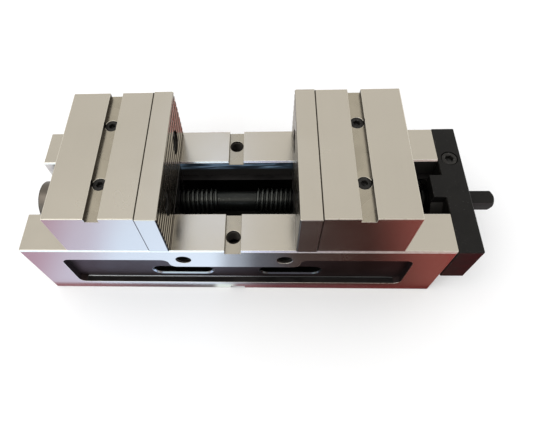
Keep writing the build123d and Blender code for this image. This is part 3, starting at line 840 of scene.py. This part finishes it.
def jaw_carrier(sizes, side, joint):
    """One tall jaw with its grooved top."""
    low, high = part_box(f"{side}_carrier")
    centre, half = (low.x + high.x) / 2, (high.x - low.x) / 2
    floor_below = high.z - GROOVE_DEPTH - NEAR
    groove = {"x": (-1, half - 10 * MM), "z": (floor_below, high.z - NEAR)}
    carrier = softened_copy(
        f"{side}_carrier", f"{side}_carrier_ground", sizes.ground_edge, "ground_across",
        "stoned_edge", "drilled", "shaded", "groove_floor")
    paint(carrier, "groove_floor", (0,), region(centre, **groove, nz=SQUARE))
    # painted shade on the groove walls
    paint(carrier, "shaded", (0,), region(centre, **groove, nx=SQUARE))
    # painted shade on the inner faces under the groove floor
    paint(carrier, "drilled", (0,), region(
        centre, x=(-1, half - 5 * MM), y=(-1, high.y - 10 * MM), z=(-1, floor_below)))
    # painted shade at the joint
    paint(carrier, "shaded", (0, 1), region(joint, x=(-1, SEAM)))
    set_down(carrier, f"{side}_jaw", [f"{side}_carrier"])


def jaw(sizes, side):
    """One jaw: its serrated plate and its grooved carrier, up to the joint between them."""
    lows, highs = zip(*(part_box(f"{side}_{part}") for part in ("carrier", "jaw_plate")))
    joint = max(low.x for low in lows) if side == "right" else min(high.x for high in highs)
    jaw_plate(sizes, side, joint)
    jaw_carrier(sizes, side, joint)


def slide(sizes, side):
    """One slide with its hold-down plate; both stay dark under the jaw."""
    for part in ("slide", "hold_down_plate"):
        node = f"{side}_{part}"
        piece = softened_copy(node, f"{node}_steel", sizes.ground_edge, "slide", "slide_edge")
        set_down(piece, f"{side}_jaw", [node])


def thread_ridge(root, crest, pitch, length, steps):
    """A thread's ridge round the Z axis from z = 0 up, with faded ends; root or crest may be outside."""
    depth = abs(crest - root)
    bpy.ops.mesh.primitive_plane_add(
        size=1, location=((root + crest) / 2, 0, 0), rotation=(math.pi / 2, 0, 0))
    piece = bpy.context.object
    piece.scale = (depth, RIDGE_FOOT * pitch, 1)
    settle(piece)
    open_mesh(piece)
    choose(piece, "VERT", lambda v: abs(v.co.x - crest) < 0.1 * depth)
    grow((1, 1, RIDGE_CREST), (crest, 0, 0))
    bpy.ops.mesh.select_all(action="SELECT")
    bpy.ops.mesh.delete(type="ONLY_FACE")
    turns = max(2, int(length / pitch))
    finish_with(
        piece, "SCREW", axis="Z", angle=2 * math.pi, screw_offset=pitch, iterations=turns,
        steps=steps, render_steps=steps, use_smooth_shade=True)
    rows, faded, corners = turns * steps, int(RIDGE_FADE * steps), 4
    open_mesh(piece)
    for ends_at, inwards in ((0, 1), (rows, -1)):
        for step in range(faded):
            row = ends_at + inwards * step
            share = 0.02 + 0.98 * step / faded
            angle = 2 * math.pi * row / steps
            away = Vector((math.cos(angle), math.sin(angle), 0))

            def on_crest(v):
                in_row = row * corners <= v.index < (row + 1) * corners
                return in_row and abs(math.hypot(v.co.x, v.co.y) - crest) < 0.1 * depth

            choose(piece, "VERT", on_crest)
            bpy.ops.transform.translate(value=away * (root - crest) * (1 - share))
        choose(piece, "VERT", lambda v: ends_at * corners <= v.index < (ends_at + 1) * corners)
        bpy.ops.mesh.edge_face_add()
    turn_outwards()
    bpy.ops.transform.translate(value=(0, 0, 0.4 * pitch))
    smooth_round(piece)
    return piece


def lead_screw(sizes):
    """The lead screw: a right-hand thread under the left jaw and a left-hand one under the right."""
    low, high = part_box("lead_screw")
    axis_height = (low.z + high.z) / 2
    crest = (high.z - low.z) / 2
    root = crest - sizes.thread_depth
    on_axis, sunk = (0, 0, axis_height), 0.3 * MM

    def reaches(v, radius):
        return math.hypot(v.co.y, v.co.z - axis_height) > radius

    piece = softened_copy("lead_screw", "lead_screw_threaded", 0, "lead_screw", "black")
    paint(piece, "black", (0,), region(x=(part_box("end_plate")[1].x, 1)))
    open_mesh(piece)
    choose(piece, "VERT", lambda v: reaches(v, crest - sunk))
    grow((1, root / crest, root / crest), on_axis)
    finish_with(
        piece, "BEVEL", width=sunk, segments=2, limit_method="ANGLE", angle_limit=SHARP_ANGLE,
        harden_normals=True, use_clamp_overlap=False)
    stations = sorted({
        round(v.co.x, 5) for v in frame["nodes"]["lead_screw"].data.vertices
        if reaches(v, crest - 0.01 * MM)})
    neck = [x for x in stations if abs(x) < 0.1]
    parts = [piece]
    for start, stop, left_handed in ((stations[0], neck[0], False), (neck[-1], stations[-1], True)):
        ridge = thread_ridge(
            root - sunk, crest, sizes.thread_pitch, stop - start, sizes.thread_steps)
        if left_handed:
            open_mesh(ridge)
            bpy.ops.mesh.select_all(action="SELECT")
            bpy.ops.transform.mirror(constraint_axis=(False, True, False), center_override=(0, 0, 0))
            turn_outwards()
            pick_up()
        ridge.rotation_euler = (0, math.pi / 2, 0)
        ridge.location = (start, 0, axis_height)
        settle(ridge)
        coat(ridge, "lead_screw")
        parts.append(ridge)
    pick_up(*parts)
    bpy.ops.object.join()
    set_down(piece, "screw", ["lead_screw"])


def cap_screw(sizes, nominal, shank_length):
    """A socket head cap screw on the Z axis, its head seated on z = 0 and its threaded shank below."""
    head_diameter, head_height, key, pitch = (v * MM for v in CAP_SCREWS[nominal])
    radius, shank = head_diameter / 2, nominal * MM / 2
    facets, rounding = sizes.head_facets, 0.07 * nominal * MM
    bpy.ops.mesh.primitive_cylinder_add(
        vertices=facets, radius=radius, depth=head_height, location=(0, 0, head_height / 2))
    piece = bpy.context.object
    settle(piece)
    open_mesh(piece)
    # the head's top rim is rounded, its side knurled
    choose(piece, "EDGE", lambda e: min(v.co.z for v in e.verts) > head_height * 0.99)
    bpy.ops.mesh.bevel(offset=rounding, segments=3, affect="EDGES")
    step = 2 * math.pi / facets

    def in_knurl(v):
        turn = math.atan2(v.co.y, v.co.x) / step
        low_on_head = v.co.z < head_height * 0.95 and math.hypot(v.co.x, v.co.y) > radius * 0.99
        return low_on_head and round(turn) % 2 == 0

    choose(piece, "VERT", in_knurl)
    grow((0.975, 0.975, 1), (0, 0, 0))
    # the socket: a ring inset in the top and drawn in to a hexagon, pushed down to a drilled cone
    ease, corner = 0.03 * nominal * MM, key / math.sqrt(3)
    ring, depth = corner + ease, 0.55 * head_height
    choose(piece, "FACE", lambda f: f.normal.z > 0.99 and len(f.verts) > 8)
    bpy.ops.mesh.inset(thickness=radius - rounding - ring)
    for off_corner in (turn * step for turn in range(facets // 12 + 1)):

        def on_ring(v):
            away = math.atan2(v.co.y, v.co.x) % (math.pi / 3)
            level = abs(v.co.z - head_height) < 0.001 * MM and math.hypot(v.co.x, v.co.y) < ring * 1.02
            return level and abs(min(away, math.pi / 3 - away) - off_corner) < 0.1 * step

        choose(piece, "VERT", on_ring)
        pull = math.cos(math.pi / 6) / math.cos(math.pi / 6 - off_corner)
        grow((pull, pull, 1), (0, 0, head_height))
    choose(piece, "FACE", lambda f: f.normal.z > 0.99 and len(f.verts) > 8)
    bpy.ops.mesh.delete(type="ONLY_FACE")
    choose(piece, "EDGE", lambda e: e.is_boundary and abs(middle(e).z - head_height) < 0.01 * MM)
    extrude_by(-ease)
    grow((corner / ring, corner / ring, 1), (0, 0, head_height - ease))
    extrude_by(ease - depth)
    extrude_by(-0.28 * key)
    grow((0, 0, 1), (0, 0, head_height - depth))
    # the shank: stepped in from the head's underside, drawn down and tapered at its tip
    choose(piece, "FACE", lambda f: f.normal.z < -0.99 and f.calc_center_median().z < 0.01 * MM)
    bpy.ops.mesh.inset(thickness=radius - shank - 0.25 * MM)
    bpy.ops.mesh.inset(thickness=0.25 * MM)
    root, step_down, tip = shank - 0.6 * pitch, 0.3 * MM, 0.8 * pitch
    plain = min(0.3 * shank_length, 1.2 * nominal * MM)
    for drop, size in (
        (plain, 1), (step_down, root / shank), (shank_length - plain - step_down - tip, 1), (tip, 0.86),
    ):
        extrude_by(-drop)
        grow((size, size, 1), (0, 0, 0))
    bpy.ops.mesh.select_all(action="SELECT")
    bpy.ops.mesh.remove_doubles(threshold=0.002 * MM)
    turn_outwards()
    smooth_round(piece)
    ridge = thread_ridge(root - 0.05 * MM, shank, pitch, shank_length - plain - 1.5 * pitch, 18)
    ridge.location = (0, 0, -shank_length + 0.2 * pitch)
    settle(ridge)
    pick_up(piece, ridge)
    bpy.ops.object.join()
    coat(piece, "fastener", "fastener_socket")
    paint(piece, "fastener_socket", (0,), lambda at, normal: (
        math.hypot(at.x, at.y) < 0.6 * key and head_height * 0.2 < at.z < head_height - 0.6 * ease))
    return piece


def cap_screws(sizes):
    """Every cap screw of the vise: each kind is modelled once and copied to its places."""
    kinds = {}
    for node, body, nominal, facing in SCREW_ROWS:
        head_height = CAP_SCREWS[nominal][1] * MM
        facing = Vector(facing)
        turn = Vector((0, 0, 1)).rotation_difference(facing).to_matrix().to_4x4()
        for number, (low, high) in enumerate(solids_of(node), start=1):
            whole = abs((high - low).dot(facing))
            kind = (nominal, round((whole - head_height) / MM))
            if kind not in kinds:
                kinds[kind] = cap_screw(sizes, nominal, whole - head_height)
            seat = (low + high) / 2 + facing * (whole / 2 - head_height)
            spin = Matrix.Rotation(0.5 + 1.7 * number, 4, "Z")
            piece = placed_copy(kinds[kind], f"{node}_{number}", Matrix.Translation(seat) @ turn @ spin)
            set_down(piece, body, [node])
    for pattern in kinds.values():
        bpy.data.objects.remove(pattern)


def hole_threads(sizes):
    """The threads that show in the tapped holes of the body."""
    number = 0
    for kind, depth, rows in (
        ("groove", 23 * MM, ("groove_holes",)), ("side", 25 * MM, ("front_side_holes", "rear_side_holes")),
    ):
        holes = [hole for row in rows for hole in holes_of(row)]
        radius = holes[0][2]
        ridge = thread_ridge(
            radius + 0.05 * MM, radius - sizes.hole_thread_depth, sizes.hole_pitch,
            depth - 1.6 * sizes.hole_pitch, 36)
        # painted shade on the threads in the holes
        coat(ridge, "drilled")
        for mouth, facing, _ in holes:
            number += 1
            turn = Vector((0, 0, -1)).rotation_difference(facing).to_matrix().to_4x4()
            place = Matrix.Translation(mouth - facing * 0.3 * MM) @ turn
            piece = placed_copy(ridge, f"{kind}_hole_thread_{number}", place)
            set_down(piece, "base", ())
        bpy.data.objects.remove(ridge)


def black_ends(sizes):
    """The black end plate, the bearing block and the lock nut with its screw."""
    plate = softened_copy(
        "end_plate", "end_plate_blackened", sizes.black_edge, "black", "black_edge", "boss")
    in_slot = (-1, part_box("vise_body")[1].x - NEAR)
    # painted sheen on the end plate's boss in the slot
    paint(plate, "boss", (0,), region(x=in_slot, nx=(-1, 0.1), ny=(0.1, 0.98)))
    set_down(plate, "base", ["end_plate"])
    for node, name, body, edge, finish, slot in (
        ("bearing_block", "bearing_block_blackened", "base", sizes.black_edge, "bearing_steel",
         "black_steel"),
        ("lock_nut", "lock_nut_blackened", "screw", sizes.black_edge, "black", "black_steel"),
        ("lock_nut_screw", "lock_nut_set_screw", "screw", 0.15 * MM, "fastener", "fastener_steel"),
    ):
        set_down(softened_copy(node, name, edge, finish, "black_edge"), body, [node])


def carried_over():
    """Materials for the CAD nodes that keep their own shape inside the vise."""
    for name, nodes in (
        ("bronze", ("bearing_sleeve", "outer_thrust_washer", "left_bush")),
        ("drilled", ("inner_thrust_washer",)), ("slide", ("left_cross_key", "right_cross_key")),
    ):
        for node in nodes:
            for slot in frame["nodes"][node].material_slots:
                slot.material = material(name)


# stage


def card_glow(name, colours, low, high):
    """A soft glow that changes along X between two places."""
    glow = bpy.data.materials.new(name)
    glow.use_nodes = True
    tree = glow.node_tree
    tree.nodes.clear()
    place = add_node(tree, "SeparateXYZ", {0: add_node(tree, "TexCoord").outputs["Object"]}).outputs["X"]
    share = add_node(tree, "MapRange", {"Value": place, "From Min": low, "From Max": high})
    ramp = add_node(tree, "ValToRGB", {"Fac": share.outputs["Result"]})
    stops = ramp.color_ramp.elements
    ramp.color_ramp.interpolation = "EASE"
    while len(stops) < len(colours):
        stops.new(0.5)
    for stop, (at, colour) in zip(stops, colours):
        stop.position = (at - low) / (high - low)
        stop.color = (*colour, 1)
    light = add_node(tree, "Emission", {"Color": ramp.outputs["Color"]})
    add_node(tree, "OutputMaterial", {"Surface": light.outputs[0]})
    return glow


def reflection_card(name, low, high, colours):
    """A flat card between two corners, level or upright, that shows only in reflections."""
    low, high = Vector(low), Vector(high)
    upright = high.z > low.z
    bpy.ops.mesh.primitive_plane_add(
        size=1, location=(low + high) / 2, rotation=(math.pi / 2 if upright else 0, 0, 0))
    card = bpy.context.object
    card.name = name
    card.scale = (high.x - low.x, high.z - low.z if upright else high.y - low.y, 1)
    settle(card)
    card.data.materials.append(card_glow(name + "_glow", colours, low.x, high.x))
    card.visible_camera = False
    card.visible_diffuse = False
    card.visible_shadow = False
    card.visible_transmission = False


def floor(stage):
    """A plain pale floor."""
    bpy.ops.mesh.primitive_plane_add(size=12, location=(0, 0, CAD_BOX[0].z - 0.05 * MM))
    piece = bpy.context.object
    piece.name = "floor"
    finish = Finish("floor_paint", Roughness=0.7, Specular_IOR_Level=0.2)
    film = finish.use(oil_film(), Patches_per_metre=1.5, Sharpness=0.4)["Mask"]
    colour = tuple(stage.floor_colour)
    finish.feed(finish.colours(film, shade(colour, 0.99), colour), "Base Color")
    piece.data.materials.append(finish.material)


def key_light(stage):
    """A large soft light over the vise, turned towards it."""
    place, target = Vector((-0.8, -0.5, 1.9)), Vector((0, 0, 0.1))
    lamp = bpy.data.lights.new("key", "AREA")
    lamp.shape = "SQUARE"
    lamp.size = 1.8
    lamp.energy = stage.key_power
    lamp.color = (1, 0.98, 0.95)
    light = linked("key", lamp)
    light.location = place
    light.rotation_euler = (target - place).to_track_quat("-Z", "Y").to_euler()


def camera(stage):
    """The camera at the photograph's angle, fitted to the vise's straight edges."""
    yaw, pitch, roll = (math.radians(a) for a in CAMERA_TURN)
    data = bpy.data.cameras.new("photo_camera")
    data.sensor_width = 36
    data.lens = stage.focal_length
    data.shift_x = (PHOTO_SIZE[0] / 2 - PHOTO_MIDDLE[0]) / PHOTO_SIZE[0]
    data.shift_y = (PHOTO_MIDDLE[1] - PHOTO_SIZE[1] / 2) / PHOTO_SIZE[0]
    data.clip_start = 0.01
    eye = linked("photo_camera", data)
    turns = ((-yaw, "Z"), (math.pi / 2 - pitch, "X"), (roll, "Z"))
    eye.matrix_world = Matrix.Translation(CAMERA_PLACE)
    for angle, axis in turns:
        eye.matrix_world = eye.matrix_world @ Matrix.Rotation(angle, 4, axis)
    bpy.context.scene.camera = eye


def room(stage):
    """The even light of a pale room."""
    world = bpy.data.worlds.new("pale_room")
    world.use_nodes = True
    sky = world.node_tree.nodes["Background"]
    sky.inputs["Color"].default_value = (*stage.room_colour, 1)
    sky.inputs["Strength"].default_value = stage.room_strength
    bpy.context.scene.world = world


# operators


class VISE_OT_stage(bpy.types.Operator):
    """Set up the floor, the soft lights and the camera"""

    bl_idname = "vise.stage"
    bl_label = "Stage"

    def execute(self, context):
        for part in (camera, room, floor, key_light):
            part(context.scene.vise_stage)
        for card in CARDS:
            reflection_card(*card)
        context.scene.view_settings.view_transform = "Standard"
        return {"FINISHED"}


class VISE_OT_body(bpy.types.Operator):
    """Finish the slotted body"""

    bl_idname = "vise.body"
    bl_label = "Body"

    def execute(self, context):
        body_block(context.scene.vise_sizes)
        return {"FINISHED"}


class VISE_OT_jaws(bpy.types.Operator):
    """Finish both jaws: carriers and serrated plates"""

    bl_idname = "vise.jaws"
    bl_label = "Jaws"

    def execute(self, context):
        for side in ("left", "right"):
            jaw(context.scene.vise_sizes, side)
        return {"FINISHED"}


class VISE_OT_slides(bpy.types.Operator):
    """Finish the slides and hold-down plates under the jaws"""

    bl_idname = "vise.slides"
    bl_label = "Slides"

    def execute(self, context):
        for side in ("left", "right"):
            slide(context.scene.vise_sizes, side)
        return {"FINISHED"}


class VISE_OT_black_ends(bpy.types.Operator):
    """Finish the end plate, bearing block and lock nut"""

    bl_idname = "vise.black_ends"
    bl_label = "Black end parts"

    def execute(self, context):
        black_ends(context.scene.vise_sizes)
        return {"FINISHED"}


class VISE_OT_lead_screw(bpy.types.Operator):
    """Model the lead screw with its two threads"""

    bl_idname = "vise.lead_screw"
    bl_label = "Lead screw"

    def execute(self, context):
        lead_screw(context.scene.vise_sizes)
        return {"FINISHED"}


class VISE_OT_cap_screws(bpy.types.Operator):
    """Model the socket head cap screws"""

    bl_idname = "vise.cap_screws"
    bl_label = "Cap screws"

    def execute(self, context):
        cap_screws(context.scene.vise_sizes)
        return {"FINISHED"}


class VISE_OT_hole_threads(bpy.types.Operator):
    """Model the threads in the body's tapped holes"""

    bl_idname = "vise.hole_threads"
    bl_label = "Hole threads"

    def execute(self, context):
        hole_threads(context.scene.vise_sizes)
        return {"FINISHED"}


class VISE_OT_carried_over(bpy.types.Operator):
    """Give the bearings and keys inside the vise their materials"""

    bl_idname = "vise.carried_over"
    bl_label = "Bearings and keys"

    def execute(self, context):
        carried_over()
        return {"FINISHED"}


class VISE_PT_panel(bpy.types.Panel):
    """Everything that builds and sizes the vise"""

    bl_idname = "VISE_PT_panel"
    bl_label = "Self-centering vise"
    bl_space_type = "VIEW_3D"
    bl_region_type = "UI"
    bl_category = "Vise"

    def draw(self, context):
        for settings in (context.scene.vise_sizes, context.scene.vise_finishes, context.scene.vise_stage):
            column = self.layout.column(align=True)
            for name in settings.__annotations__:
                column.prop(settings, name)
        column = self.layout.column(align=True)
        for operator in OPERATORS:
            column.operator(operator.bl_idname)


OPERATORS = (
    VISE_OT_stage, VISE_OT_body, VISE_OT_jaws, VISE_OT_slides, VISE_OT_black_ends,
    VISE_OT_lead_screw, VISE_OT_cap_screws, VISE_OT_hole_threads, VISE_OT_carried_over,
)
CLASSES = (ViseSizes, ViseFinishes, ViseStage, *OPERATORS, VISE_PT_panel)


def register():
    for cls in CLASSES:
        bpy.utils.register_class(cls)
    bpy.types.Scene.vise_sizes = bpy.props.PointerProperty(type=ViseSizes)
    bpy.types.Scene.vise_finishes = bpy.props.PointerProperty(type=ViseFinishes)
    bpy.types.Scene.vise_stage = bpy.props.PointerProperty(type=ViseStage)


def unregister():
    del bpy.types.Scene.vise_stage
    del bpy.types.Scene.vise_finishes
    del bpy.types.Scene.vise_sizes
    for cls in reversed(CLASSES):
        bpy.utils.unregister_class(cls)


def main():
    """Build the whole vise."""
    register()
    bpy.ops.vise.stage()
    bpy.ops.vise.body()
    bpy.ops.vise.jaws()
    bpy.ops.vise.slides()
    bpy.ops.vise.black_ends()
    bpy.ops.vise.lead_screw()
    bpy.ops.vise.cap_screws()
    bpy.ops.vise.hole_threads()
    bpy.ops.vise.carried_over()


if __name__ == "__main__":
    main()
